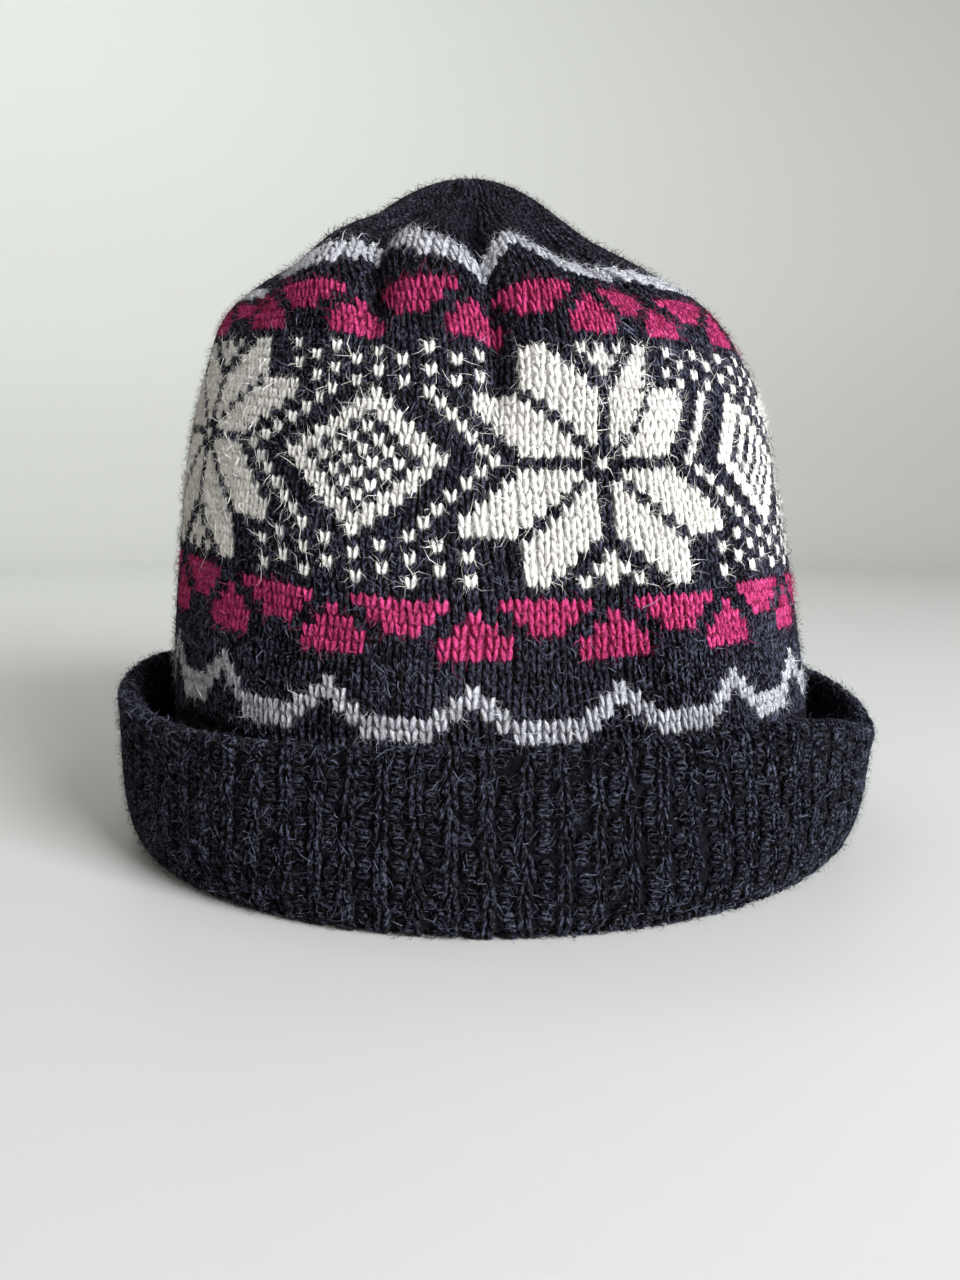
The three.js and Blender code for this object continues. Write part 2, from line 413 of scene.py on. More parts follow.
def cuff_place(azimuth, row, lift):
    """A point of the cuff, some rows along its profile and lifted off its surface."""
    azimuth, row, lift = np.broadcast_arrays(azimuth, row, lift)
    fraction = row / CUFF_ROWS
    place = cuff_lookup(cuff_places, azimuth, fraction)
    outward = cuff_lookup(cuff_outward, azimuth, fraction)
    outward /= np.linalg.norm(outward, axis=-1, keepdims=True)
    place = place + outward * lift[..., None]
    return around_axis(azimuth, place[..., 0], np.maximum(place[..., 1], FLOOR_CLEARANCE))


# The colour chart, by column and row. Row 0 is the first patterned round above the ribbing.

ZIGZAG_REPEAT = 10
ZIGZAG_HEIGHTS = np.array([3, 2, 1, 0, 0, 0])
LOWER_TRIANGLE = np.array([2, 2, 1, 0, -1])
UPPER_TRIANGLE = np.array([-1, -1, 1, 2, 3])
STAR_REPEAT = 36
STAR_REACH = 10
STAR_ROW = 23
# The first row of each zigzag and how many rows thick its line is.
ZIGZAGS = ((0, 2), (42, 3))
BORDER_ROWS = (7, 35)
BAND_HEIGHT = 5


def from_middle(column, repeat):
    """Signed distance to the nearest middle of a repeat."""
    half = repeat // 2
    return np.mod(column + half, repeat) - half


def zigzag(column, rise, thickness):
    step = ZIGZAG_HEIGHTS[np.abs(from_middle(column, ZIGZAG_REPEAT))]
    return (rise >= step) & (rise < step + thickness)


def triangles(column, rise):
    half = ZIGZAG_REPEAT // 2
    lower = np.abs(from_middle(column, ZIGZAG_REPEAT)) <= LOWER_TRIANGLE[rise]
    upper = np.abs(from_middle(column + half, ZIGZAG_REPEAT)) <= UPPER_TRIANGLE[rise]
    return lower | upper


def star(column, rise):
    a = np.abs(from_middle(column, STAR_REPEAT))
    b = np.abs(rise)
    sideways = (b >= 1) & (b <= 6) & (a > b) & (a <= np.minimum(b + 5, STAR_REACH))
    upright = (a >= 1) & (a <= 6) & (b > a) & (b <= np.minimum(a + 5, STAR_REACH))
    sprig = ((b == 8) & (a == 0)) | ((b == 9) & (a <= 1)) | ((b == 10) & ((a == 0) | (a == 2)))
    return sideways | upright | sprig | ((a == 0) & (b == 0))


def diamond(column, rise):
    a = np.abs(from_middle(column + STAR_REPEAT // 2, STAR_REPEAT))
    b = np.abs(rise)
    ring = a + b
    checks = np.isin(ring, (1, 3, 5, 6))
    dots = (ring == 10) & (a >= 4)
    seeds = (b >= 7) & (a <= 8) & (a % 2 == 0) & ((a // 2 + b) % 2 == 0)
    return checks | dots | seeds


def chart(column, row):
    """The yarn of each stitch."""
    column, row = np.broadcast_arrays(column, row)
    yarn = np.full(column.shape, BLACK)
    for first, thickness in ZIGZAGS:
        yarn[zigzag(column, row - first, thickness)] = GREY
    for first in BORDER_ROWS:
        rise = row - first
        in_band = (rise >= 0) & (rise < BAND_HEIGHT)
        yarn[in_band & triangles(column, np.clip(rise, 0, BAND_HEIGHT - 1))] = BURGUNDY
    in_panel = np.abs(row - STAR_ROW) <= STAR_REACH
    yarn[in_panel & (star(column, row - STAR_ROW) | diamond(column, row - STAR_ROW))] = WHITE
    return yarn


# Meshes from arrays

def add_piece(name, points, faces, materials, tone=None, uv=None, material_index=None):
    """One mesh object that rides on the hat. faces is a list of index arrays, each of one face size."""
    mesh = bpy.data.meshes.new(name)
    loops = np.concatenate([f.ravel() for f in faces])
    sizes = np.concatenate([np.full(len(f), f.shape[1]) for f in faces])
    mesh.vertices.add(len(points))
    mesh.vertices.foreach_set("co", (np.asarray(points) * MM).astype(np.float32).ravel())
    mesh.loops.add(len(loops))
    mesh.loops.foreach_set("vertex_index", loops.astype(np.int32))
    mesh.polygons.add(len(sizes))
    mesh.polygons.foreach_set("loop_start", (np.cumsum(sizes) - sizes).astype(np.int32))
    mesh.polygons.foreach_set("use_smooth", np.ones(len(sizes), bool))
    for material in materials:
        mesh.materials.append(material)
    if material_index is not None:
        mesh.polygons.foreach_set("material_index", material_index.astype(np.int32))
    if uv is not None:
        layer = mesh.uv_layers.new(name="yarn")
        layer.data.foreach_set("uv", uv.astype(np.float32).ravel())
    if tone is not None:
        attribute = mesh.attributes.new("tone", "FLOAT", "POINT")
        attribute.data.foreach_set("value", tone.astype(np.float32))
    mesh.update(calc_edges=True)
    mesh.validate()
    piece = bpy.data.objects.new(name, mesh)
    bpy.context.scene.collection.objects.link(piece)
    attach(piece, "root")
    return piece


def repeated(template, count, points_each):
    """A template's faces, once for each of count items."""
    start = np.arange(count)[:, None, None] * points_each
    return [(np.asarray(f)[None] + start).reshape(-1, len(f[0])) for f in template]


# Strands of yarn. Each is a short ridged tube with a flat underside, given by its sections.

SIDES = 3
# How far along the yarn's pattern of fibres a strand may start.
YARN_SHIFT = 50


def strand_template(sections):
    """Faces and yarn coordinates of one strand: a tip, rings of points, and a tip."""
    rings = sections - 2
    last = 1 + rings * SIDES
    caps, cap_uv, sides, side_uv = [], [], [], []
    for k in range(SIDES):
        after = (k + 1) % SIDES
        left, right = k / SIDES, (k + 1) / SIDES
        caps.append((0, 1 + after, 1 + k))
        cap_uv += [((left + right) / 2, 0), (right, 1), (left, 1)]
        caps.append((last, last - SIDES + k, last - SIDES + after))
        cap_uv += [((left + right) / 2, rings + 1), (left, rings), (right, rings)]
        for ring in range(rings - 1):
            below = 1 + ring * SIDES
            above = below + SIDES
            sides.append((below + k, below + after, above + after, above + k))
            side_uv += [(left, ring + 1), (right, ring + 1), (right, ring + 2), (left, ring + 2)]
    return (caps, sides), (np.array(cap_uv), np.array(side_uv)), last + 1


# Which way a strand's width lies, in stitches aside and rows along.
WIDTH_ASIDE = (1, 0)
WIDTH_ALONG = (0, -1)

# One side of a knit stitch: it comes up from behind the stitch below and leans out to tuck under the next.
KNIT_LEG = (
    # along rows, aside, half width, ridge lift, edge lift
    (-0.82, 0.10, 0.00, -0.50, -0.50),
    (-0.28, 0.18, 0.24, 0.52, -0.55),
    (0.36, 0.29, 0.24, 0.52, -0.55),
    (0.88, 0.36, 0.00, -0.40, -0.40),
)
# The turned-up cuff shows its knit stitches upside down.
CUFF_KNIT_LEG = (
    # along rows, aside, half width, ridge lift, edge lift
    (-0.80, 0.30, 0.00, -0.50, -0.50),
    (-0.28, 0.26, 0.20, 0.60, -0.60),
    (0.36, 0.17, 0.20, 0.55, -0.60),
    (0.85, 0.10, 0.00, -0.50, -0.50),
)
# A purl stitch shows as an arch lying across its column, above the dip of the yarn that it hangs on.
PURL_ARCH = (
    # along rows, aside, half width, ridge lift, edge lift
    (-0.50, -0.52, 0.00, -0.60, -0.60),
    (0.12, -0.20, 0.25, 0.25, -0.80),
    (0.12, 0.20, 0.25, 0.25, -0.80),
    (-0.50, 0.52, 0.00, -0.60, -0.60),
)
PURL_DIP = (
    # along rows, aside, half width, ridge lift, edge lift
    (0.30, -0.60, 0.00, -0.60, -0.60),
    (-0.36, -0.28, 0.22, 0.10, -0.85),
    (-0.36, 0.28, 0.22, 0.10, -0.85),
    (0.30, 0.60, 0.00, -0.60, -0.60),
)


class Strands:
    """Strands of yarn laid on a knitted surface, joined into one mesh."""

    def __init__(self):
        self.faces, self.uv, self.points_each = strand_template(len(KNIT_LEG))
        self.points = []
        self.tones = []

    def add(self, place, stitches, sections, mirror=1, width=WIDTH_ASIDE):
        """One strand for each stitch, from a table of its sections."""
        azimuth, row, pitch, size, tone = stitches
        asides, alongs, lifts = [], [], []
        for k, (along, aside, half, top, base) in enumerate(sections):
            ring = ((-half, base), (0, top), (half, base))
            if k in (0, len(sections) - 1):
                ring = ((0, top),)
            for across, lift in ring:
                asides.append(mirror * aside + width[0] * across * size)
                alongs.append(along + width[1] * across * size)
                lifts.append(lift + size - 1)
        asides, alongs, lifts = (np.stack(np.broadcast_arrays(*rows), 1) for rows in (asides, alongs, lifts))
        points = place(azimuth[:, None] + pitch[:, None] * asides, row[:, None] + alongs, lifts)
        self.points.append(points.reshape(-1, 3))
        self.tones.append(np.repeat(tone, self.points_each))

    def piece(self, name, material, slot):
        points = np.concatenate(self.points)
        count = len(points) // self.points_each
        faces = repeated(self.faces, count, self.points_each)
        shift = rng.uniform(0, YARN_SHIFT, (count, 1, 1)) * (0, 1)
        uv = np.concatenate([(part[None] + shift).reshape(-1, 2) for part in self.uv])
        add_piece(name, points, faces, [material], tone=np.concatenate(self.tones), uv=uv)


# The stitches of the crown and the cuff, as one array for each property.

# Bounds for how often a wave repeats round the hat, the most that it slants, in radians a row,
# and how many waves are laid over each other.
WAVE_TURNS = (2, 22)
WAVE_SLANT = 0.35
WAVES = 9


def soft_noise(azimuth, row):
    """Slow random waves over a knitted surface, about -1 to 1."""
    total = 0
    for _ in range(WAVES):
        turns = rng.integers(*WAVE_TURNS)
        slant = rng.uniform(-WAVE_SLANT, WAVE_SLANT)
        phase = rng.uniform(0, 2 * math.pi)
        total = total + np.sin(np.radians(azimuth) * turns + row * slant + phase)
    return total / math.sqrt(WAVES)


def crown_stitches():
    azimuths, rows, pitches, yarns = [], [], [], []
    last_row = int((CROWN_LENGTH - FIRST_ROW_ALONG) / ROW_HEIGHT)
    for row in range(-1, last_row):
        count, start = round_of_row(row)
        column = np.arange(count)
        azimuths.append(column_place(start + column * 360 / count, row))
        rows.append(np.full(count, row + 0.5))
        pitches.append(np.full(count, 360 / count))
        yarns.append(chart(column, row))
    return [np.concatenate(parts) for parts in (azimuths, rows, pitches, yarns)]


def cuff_stitches(first_column):
    """Every second column of the cuff: knit from column 0, purl from column 1."""
    rows = np.arange(CUFF_FIRST_ROW, CUFF_LAST_ROW)
    column, row = np.meshgrid(np.arange(first_column, CUFF_STITCHES, 2), rows)
    pitch = 360 / CUFF_STITCHES
    azimuth = column.ravel() * pitch
    return azimuth, row.ravel() + 0.5, np.full(azimuth.shape, pitch)


# How far the slow waves move a stitch aside, in stitches, and up, in rows, and change its size and tone.
WAVE_ASIDE = 0.16
WAVE_UP = 0.14
WAVE_SIZE = 0.05
WAVE_TONE = 0.12
SIZE_LIMITS = (0.7, 1.3)
TONE_SPREAD = 0.2
# How far chance moves each stitch, and changes its size.
CROWN_JITTER = 0.05
KNIT_RIB_JITTER = 0.10
PURL_RIB_JITTER = 0.14


def worked_by_hand(azimuth, row, pitch, jitter):
    """Uneven places and sizes of stitches: slow waves of tension and a little chance on each."""
    count = len(azimuth)
    moved = azimuth + pitch * (WAVE_ASIDE * soft_noise(azimuth, row) + rng.normal(0, jitter, count))
    raised = row + WAVE_UP * soft_noise(azimuth, row) + rng.normal(0, jitter, count)
    size = np.clip(rng.normal(1, jitter, count) + WAVE_SIZE * soft_noise(azimuth, row), *SIZE_LIMITS)
    tone = np.clip(rng.normal(0.5, TONE_SPREAD, count) + WAVE_TONE * soft_noise(azimuth, row), 0, 1)
    return np.stack([moved, raised, pitch, size, tone])


# Materials

YARNS = {
    # name: shade, light, contrast, level between the two, share of both colours kept behind the stitches, the
    # rest taken off as painted shade
    "black": ((0.0006, 0.0006, 0.0012), (0.080, 0.080, 0.125), 5.0, 0.16, 0.15),
    "white": ((0.62, 0.60, 0.56), (0.97, 0.96, 0.94), 3.0, 0.5, 0.9),
    "burgundy": ((0.16, 0.004, 0.032), (0.74, 0.080, 0.27), 3.0, 0.5, 0.9),
    "grey": ((0.20, 0.20, 0.22), (0.66, 0.66, 0.71), 3.0, 0.5, 0.9),
    "rib": ((0.0005, 0.0005, 0.0010), (0.080, 0.083, 0.127), 6.0, 0.07, 0.08),
}
SHEEN_WEIGHT = 0.03
SHEEN_ROUGHNESS = 0.5
WOOL_ROUGHNESS = 0.92
SPECULAR_LEVEL = 0.04


def wool_base(name):
    """A rough, softly shining material, with its shader and its node tree."""
    material = bpy.data.materials.new(name)
    material.use_nodes = True
    tree = material.node_tree
    shader = tree.nodes["Principled BSDF"]
    shader.inputs["Roughness"].default_value = WOOL_ROUGHNESS
    shader.inputs["Specular IOR Level"].default_value = SPECULAR_LEVEL
    shader.inputs["Sheen Weight"].default_value = SHEEN_WEIGHT
    shader.inputs["Sheen Roughness"].default_value = SHEEN_ROUGHNESS
    return material, tree, shader


def mixed_colour(tree, factor, shade, light):
    ramp = tree.nodes.new("ShaderNodeMix")
    ramp.data_type = "RGBA"
    ramp.inputs["A"].default_value = (*shade, 1)
    ramp.inputs["B"].default_value = (*light, 1)
    tree.links.new(factor, ramp.inputs["Factor"])
    return ramp.outputs["Result"]


def math_node(tree, operation, first, second=0):
    """One step of arithmetic in a material. A sum is kept between 0 and 1."""
    node = tree.nodes.new("ShaderNodeMath")
    node.operation = operation
    node.use_clamp = operation == "ADD"
    for socket, value in zip(node.inputs, (first, second)):
        if isinstance(value, (int, float)):
            socket.default_value = value
        else:
            tree.links.new(value, socket)
    return node.outputs[0]


def noise(tree, vector, scale, detail):
    node = tree.nodes.new("ShaderNodeTexNoise")
    node.inputs["Scale"].default_value = scale
    node.inputs["Detail"].default_value = detail
    tree.links.new(vector, node.inputs["Vector"])
    return node.outputs["Fac"]


def tone_of_stitch(tree):
    node = tree.nodes.new("ShaderNodeAttribute")
    node.attribute_name = "tone"
    return node.outputs["Fac"]


FIBRE_SCALE = (9.0, 0.9, 1.0)
STITCH_CONTRAST = 0.5
STREAK_DETAIL = 3.0
HEATHER_PER_METRE = 1300
YARN_HEATHER_DETAIL = 2.0
BACKING_HEATHER_DETAIL = 3.0
# How strong each bump is, and how deep in metres.
YARN_BUMP = (1.0, 0.0006)
BACKING_BUMP = (0.8, 0.0008)
# How much the wales swell the ridges of the backing, and how high those ridges are.
WALE_SWELL = 0.4
RIDGE_HEIGHT = 0.4


def add_bump(tree, shader, height, strength, distance):
    bump = tree.nodes.new("ShaderNodeBump")
    bump.inputs["Strength"].default_value = strength
    bump.inputs["Distance"].default_value = distance
    tree.links.new(height, bump.inputs["Height"])
    tree.links.new(bump.outputs["Normal"], shader.inputs["Normal"])


def yarn_material(name, shade, light, contrast, level):
    """Spun wool: fibres streak along each strand, and its shade changes from stitch to stitch."""
    material, tree, shader = wool_base(name)
    uv = tree.nodes.new("ShaderNodeUVMap")
    uv.uv_map = "yarn"
    stretch = tree.nodes.new("ShaderNodeMapping")
    stretch.inputs["Scale"].default_value = FIBRE_SCALE
    tree.links.new(uv.outputs["UV"], stretch.inputs["Vector"])
    streaks = noise(tree, stretch.outputs["Vector"], 1.0, STREAK_DETAIL)
    place = tree.nodes.new("ShaderNodeTexCoord")
    heather = noise(tree, place.outputs["Object"], HEATHER_PER_METRE, YARN_HEATHER_DETAIL)
    half_streaks = math_node(tree, "MULTIPLY", streaks, 0.5)
    texture = math_node(tree, "ADD", half_streaks, math_node(tree, "MULTIPLY", heather, 0.5))
    low = contrast / 2 - level + STITCH_CONTRAST / 2
    spread = math_node(tree, "SUBTRACT", math_node(tree, "MULTIPLY", texture, contrast), low)
    change = math_node(tree, "MULTIPLY", tone_of_stitch(tree), STITCH_CONTRAST)
    factor = math_node(tree, "ADD", spread, change)
    tree.links.new(mixed_colour(tree, factor, shade, light), shader.inputs["Base Color"])
    add_bump(tree, shader, texture, *YARN_BUMP)
    return material


def backing_material(name, shade, light):
    """Knitting seen from its purl side, or deep between the stitches: rows of small bumps."""
    material, tree, shader = wool_base(name)
    uv = tree.nodes.new("ShaderNodeUVMap")
    uv.uv_map = "yarn"
    split = tree.nodes.new("ShaderNodeSeparateXYZ")
    tree.links.new(uv.outputs["UV"], split.inputs["Vector"])
    ridge = math_node(tree, "SINE", math_node(tree, "MULTIPLY", split.outputs["Y"], 2 * math.pi))
    wale = math_node(tree, "SINE", math_node(tree, "MULTIPLY", split.outputs["X"], 2 * math.pi))
    swell = math_node(tree, "ADD", math_node(tree, "MULTIPLY", wale, WALE_SWELL), 1 - WALE_SWELL)
    bumps = math_node(tree, "MULTIPLY", swell, ridge)
    place = tree.nodes.new("ShaderNodeTexCoord")
    heather = noise(tree, place.outputs["Object"], HEATHER_PER_METRE, BACKING_HEATHER_DETAIL)
    height = math_node(tree, "ADD", math_node(tree, "MULTIPLY", bumps, RIDGE_HEIGHT), heather)
    tree.links.new(mixed_colour(tree, heather, shade, light), shader.inputs["Base Color"])
    add_bump(tree, shader, height, *BACKING_BUMP)
    return material


def fuzz_material(name, shade, light):
    """Loose fibres standing off the yarn."""
    material, tree, shader = wool_base(name)
    tree.links.new(mixed_colour(tree, tone_of_stitch(tree), shade, light), shader.inputs["Base Color"])
    return material


yarn_materials, backing_materials = {}, {}
for name, (shade, light, contrast, level, share) in YARNS.items():
    yarn_materials[name] = yarn_material(f"wool_{name}", shade, light, contrast, level)
    # The backing deep between the stitches gets the yarn's colours darkened by its share: painted shade in
    # the gaps.
    backing_with_painted_shade = [tuple(share * part for part in colour) for colour in (shade, light)]
    backing_materials[name] = backing_material(f"wool_{name}_backing", *backing_with_painted_shade)


# Closed walls under the stitches

SHELL_INSET = 1.0
# The shell's grid meets the edges of the stitches at both counts of its patterned rounds.
SHELL_COLUMNS = 360
SHELL_START = 0.45
# Its inside has a ring of points at every fourth row, and no ring lies nearer to the tip than this.
INNER_ROWS = 4
TIP_ROWS = 0.6
PATTERNED = "patterned_wool"
RIBBED = "ribbed_wool"


def ring_faces(first, second, columns):
    """Quads from one ring of points to the next, given the index of each ring's first point."""
    column = np.arange(columns)
    after = (column + 1) % columns
    return np.stack([first + column, first + after, second + after, second + column], 1)


def ring_uv(row_low, row_high, columns):
    column = np.arange(columns)
    rows = np.stack([np.full(columns, row_low)] * 2 + [np.full(columns, row_high)] * 2, 1)
    return np.stack([np.stack([column, column + 1, column + 1, column], 1), rows], -1).reshape(-1, 2)


def fan_faces(first, pole, columns):
    """Triangles from a ring of points to one point over its middle."""
    column = np.arange(columns)
    return np.stack([first + column, first + (column + 1) % columns, np.full(columns, pole)], 1)


def fan_uv(columns):
    column = np.arange(columns)
    across = np.stack([column, column + 1, column + 0.5], 1)
    return np.stack([across, np.broadcast_to((0, 0, 1), across.shape)], -1).reshape(-1, 2)


def crown_shell():
    """The crown's wall. Each cell of its outside has the yarn of the stitch that it backs, in that yarn's
    colours darkened as painted shade.
    """
    top_row = (CROWN_LENGTH - FIRST_ROW_ALONG) / ROW_HEIGHT
    bottom_row = -FIRST_ROW_ALONG / ROW_HEIGHT
    edges = np.concatenate([[bottom_row], np.arange(0, top_row - TIP_ROWS)])
    columns = SHELL_COLUMNS
    even = SHELL_START + np.arange(columns) * 360 / columns
    rings, firsts, poles = [], [], []
    for rows, lift in ((edges, -SHELL_INSET), (edges[::INNER_ROWS], -CROWN_WALL)):
        firsts.append(sum(len(part) for part in rings))
        azimuth = column_place(even[None, :], rows[:, None])
        rings.append(crown_place(azimuth, rows[:, None], lift).reshape(-1, 3))
        poles.append(firsts[-1] + len(rings[-1]))
        rings.append(crown_place(np.zeros(1), np.full(1, top_row), lift))
    outer, inner = firsts
    quads, uvs, yarns = [], [], []
    for k in range(len(edges) - 1):
        row = int(edges[k]) if k else -1
        count, start = round_of_row(row)
        column = np.floor((even + 180 / columns - start) / (360 / count) + 0.5).astype(int)
        quads.append(ring_faces(outer + k * columns, outer + (k + 1) * columns, columns))
        uvs.append(ring_uv(edges[k], edges[k + 1], columns))
        yarns.append(chart(column, row))
    inner_rings = len(edges[::INNER_ROWS])
    for k in range(inner_rings - 1):
        quads.append(ring_faces(inner + k * columns, inner + (k + 1) * columns, columns)[:, ::-1])
        uvs.append(ring_uv(k, k + 1, columns))
    quads.append(ring_faces(inner, outer, columns))
    uvs.append(ring_uv(0, 1, columns))
    tip = fan_faces(outer + (len(edges) - 1) * columns, poles[0], columns)
    tip_lining = fan_faces(inner + (inner_rings - 1) * columns, poles[1], columns)[:, ::-1]
    uvs += [fan_uv(columns)] * 2
    outer_yarns = np.concatenate(yarns)
    all_faces = sum(len(part) for part in quads) + len(tip) + len(tip_lining)
    lining = np.full(all_faces - len(outer_yarns), BLACK)
    return add_piece(
        "crown_shell", np.concatenate(rings), [np.concatenate(quads), np.concatenate([tip, tip_lining])],
        [backing_materials[name] for name in ("black", "white", "burgundy", "grey")],
        uv=np.concatenate(uvs), material_index=np.concatenate([outer_yarns, lining]),
    )


RIB_RELIEF = 1.0
CUFF_SHELL_RINGS = 30


def cuff_shell():
    """The folded wall of the ribbing, from under the fold over the rim and down to the crown's edge."""
    columns = 2 * CUFF_STITCHES
    azimuth = np.arange(columns) * 360 / columns
    relief = RIB_RELIEF / 2 * np.cos(np.radians(azimuth) * RIB_COLUMNS)
    rings = []
    for row in np.linspace(0, CUFF_ROWS, CUFF_SHELL_RINGS):
        rings.append(cuff_place(azimuth, row, relief - SHELL_INSET))
    rings.append(around_axis(azimuth, (FOOT_INNER_RADIUS + FOOT_OUTER_RADIUS) / 2, RIB_WALL))
    for height, radius in INNER_LEG:
        rings.append(around_axis(azimuth, radius + relief, height))
    for height, radius in reversed(INNER_LEG):
        rings.append(around_axis(azimuth, radius - RIB_WALL - relief, height))
    faces, uvs = [], []
    for k in range(len(rings)):
        faces.append(ring_faces(k * columns, (k + 1) % len(rings) * columns, columns))
        uvs.append(ring_uv(k, k + 1, columns))
    return add_piece(
        "cuff_shell", np.concatenate(rings), [np.concatenate(faces)], [backing_materials["rib"]],
        uv=np.concatenate(uvs),
    )


# Stitches

BORDER_ROW = 12
PANEL_END_ROW = 34
# Towards the gathered tip all the wool but the grey is painted darker, its fuzz the most: painted shade, as
# the top gets less light.
PAINTED_SHADE_ROWS = (31, 45)
STITCH_PAINTED_SHADE = 0.6
FUZZ_PAINTED_SHADE = 0.1


def painted_tip_shade(row, yarn, painted_shade_tone):
    return np.where(yarn == GREY, 1, 1 - (1 - painted_shade_tone) * smoothstep(row, *PAINTED_SHADE_ROWS))


def crown_knitting():
    """Both sides of every stitch of the crown, a piece for each yarn; the black is three pieces."""
    azimuth, row, pitch, yarn = crown_stitches()
    stitches = worked_by_hand(azimuth, row, pitch, CROWN_JITTER)
    # Painted shade: the stitches' tones are darkened towards the tip.
    stitches[-1] *= painted_tip_shade(row, yarn, STITCH_PAINTED_SHADE)
    groups = (
        ("crown_black_lower", "black", (yarn == BLACK) & (row < BORDER_ROW)),
        ("crown_black_panel", "black", (yarn == BLACK) & (row >= BORDER_ROW) & (row < PANEL_END_ROW)),
        ("crown_black_top", "black", (yarn == BLACK) & (row >= PANEL_END_ROW)),
        ("crown_white", "white", yarn == WHITE),
        ("crown_burgundy", "burgundy", yarn == BURGUNDY),
        ("crown_grey", "grey", yarn == GREY),
    )
    for name, material, chosen in groups:
        strands = Strands()
        for mirror in (-1, 1):
            strands.add(crown_place, stitches[:, chosen], KNIT_LEG, mirror)
        strands.piece(name, yarn_materials[material], PATTERNED)
    return stitches[0], stitches[1], yarn


def cuff_knitting():
    knit = Strands()
    stitches = worked_by_hand(*cuff_stitches(0), KNIT_RIB_JITTER)
    for mirror in (-1, 1):
        knit.add(cuff_place, stitches, CUFF_KNIT_LEG, mirror)
    knit.piece("cuff_knit_ribs", yarn_materials["rib"], RIBBED)
    purl = Strands()
    stitches = worked_by_hand(*cuff_stitches(1), PURL_RIB_JITTER)
    for sections in (PURL_ARCH, PURL_DIP):
        purl.add(cuff_place, stitches, sections, width=WIDTH_ALONG)
    purl.piece("cuff_purl_ribs", yarn_materials["rib"], RIBBED)


# Fuzz: fine flat fibres, each bent once and pointed at its end

FIBRE_WIDTH = 0.11
WIDTH_SPREAD = 0.3
STANDING_SHARE = 0.35
# The higher this is, the fewer fibres are light ones.
LIGHT_FIBRE_POWER = 4
# How much a fibre's length varies, its least length, and its greatest as a share of the mean.
LENGTH_SPREAD = 0.45
LEAST_LENGTH = 0.7
GREATEST_SHARE = 2.5
# How sharply a fibre bends, in radians.
BEND_SPREAD = 1.3
# How high a fibre's root lies, and how far its tip rises above that if it stands or lies.
ROOT_LIFT = 0.3
STANDING_RISE = (0.5, 2.5)
LYING_RISE = (0.1, 0.6)
RISE_STAGES = np.array([0, 0.6, 1])
# The points of one fibre: two at its root, two at its bend and one at its tip.
FIBRE_STAGE = np.array([0, 0, 1, 1, 2])
FIBRE_SIDE = np.array([-1, 1, -0.8, 0.8, 0])
FIBRE_FACES = ([(0, 1, 3, 2)], [(2, 3, 4)])


def fibres(name, place, azimuth, row, mm_per_degree, row_height, mean_length, material, shade=1):
    count = len(azimuth)
    length = rng.lognormal(math.log(mean_length), LENGTH_SPREAD, (count, 1))
    half_length = np.clip(length, LEAST_LENGTH, GREATEST_SHARE * mean_length) / 2
    heading = rng.uniform(0, 2 * math.pi, (count, 1)) + rng.normal(0, BEND_SPREAD, (count, 1)) * np.arange(3)
    right = half_length * np.cumsum(np.cos(heading), axis=1) - half_length * np.cos(heading[:, :1])
    up = half_length * np.cumsum(np.sin(heading), axis=1) - half_length * np.sin(heading[:, :1])
    stands = rng.random((count, 1)) < STANDING_SHARE
    rise = np.where(stands, rng.uniform(*STANDING_RISE, (count, 1)), rng.uniform(*LYING_RISE, (count, 1)))
    lift = ROOT_LIFT + rise * RISE_STAGES
    tilt = rng.uniform(0, math.pi, (count, 1))
    heading, right, up, lift = (part[:, FIBRE_STAGE] for part in (heading, right, up, lift))
    across = FIBRE_WIDTH / 2 * rng.lognormal(0, WIDTH_SPREAD, (count, 1)) * FIBRE_SIDE
    right = right - across * np.sin(heading) * np.cos(tilt)
    up = up + across * np.cos(heading) * np.cos(tilt)
    lift = lift + across * np.sin(tilt)
    points = place(azimuth[:, None] + right / mm_per_degree[:, None], row[:, None] + up / row_height, lift)
    faces = repeated(FIBRE_FACES, count, len(FIBRE_SIDE))
    # shade scales the tones down, which paints shade towards the crown's tip.
    tone = np.repeat(shade * rng.random(count) ** LIGHT_FIBRE_POWER, len(FIBRE_SIDE))
    add_piece(name, points.reshape(-1, 3), faces, [material], tone=tone)


FUZZ = (
    # piece, yarn, fibres, mean length, shade, light
    ("crown_fuzz_black", BLACK, 62000, 2.2, (0.002, 0.002, 0.004), (0.23, 0.235, 0.335)),
    ("crown_fuzz_white", WHITE, 34000, 2.7, (0.64, 0.61, 0.57), (0.97, 0.96, 0.94)),
    ("crown_fuzz_burgundy", BURGUNDY, 20000, 2.3, (0.17, 0.009, 0.040), (0.68, 0.10, 0.29)),
    ("crown_fuzz_grey", GREY, 12000, 2.3, (0.24, 0.24, 0.26), (0.80, 0.80, 0.85)),
)
CUFF_FIBRES = 52000
CUFF_FIBRE_LENGTH = 2.0
CUFF_FIBRE_SHADE = (0.001, 0.001, 0.002)
CUFF_FIBRE_LIGHT = (0.16, 0.168, 0.245)
# No fuzz grows where the crown is narrower than this.
TOP_FUZZ_RADIUS = 8
# How far aside of a stitch's middle a fibre may grow.
ROOT_ASIDE = 1.6


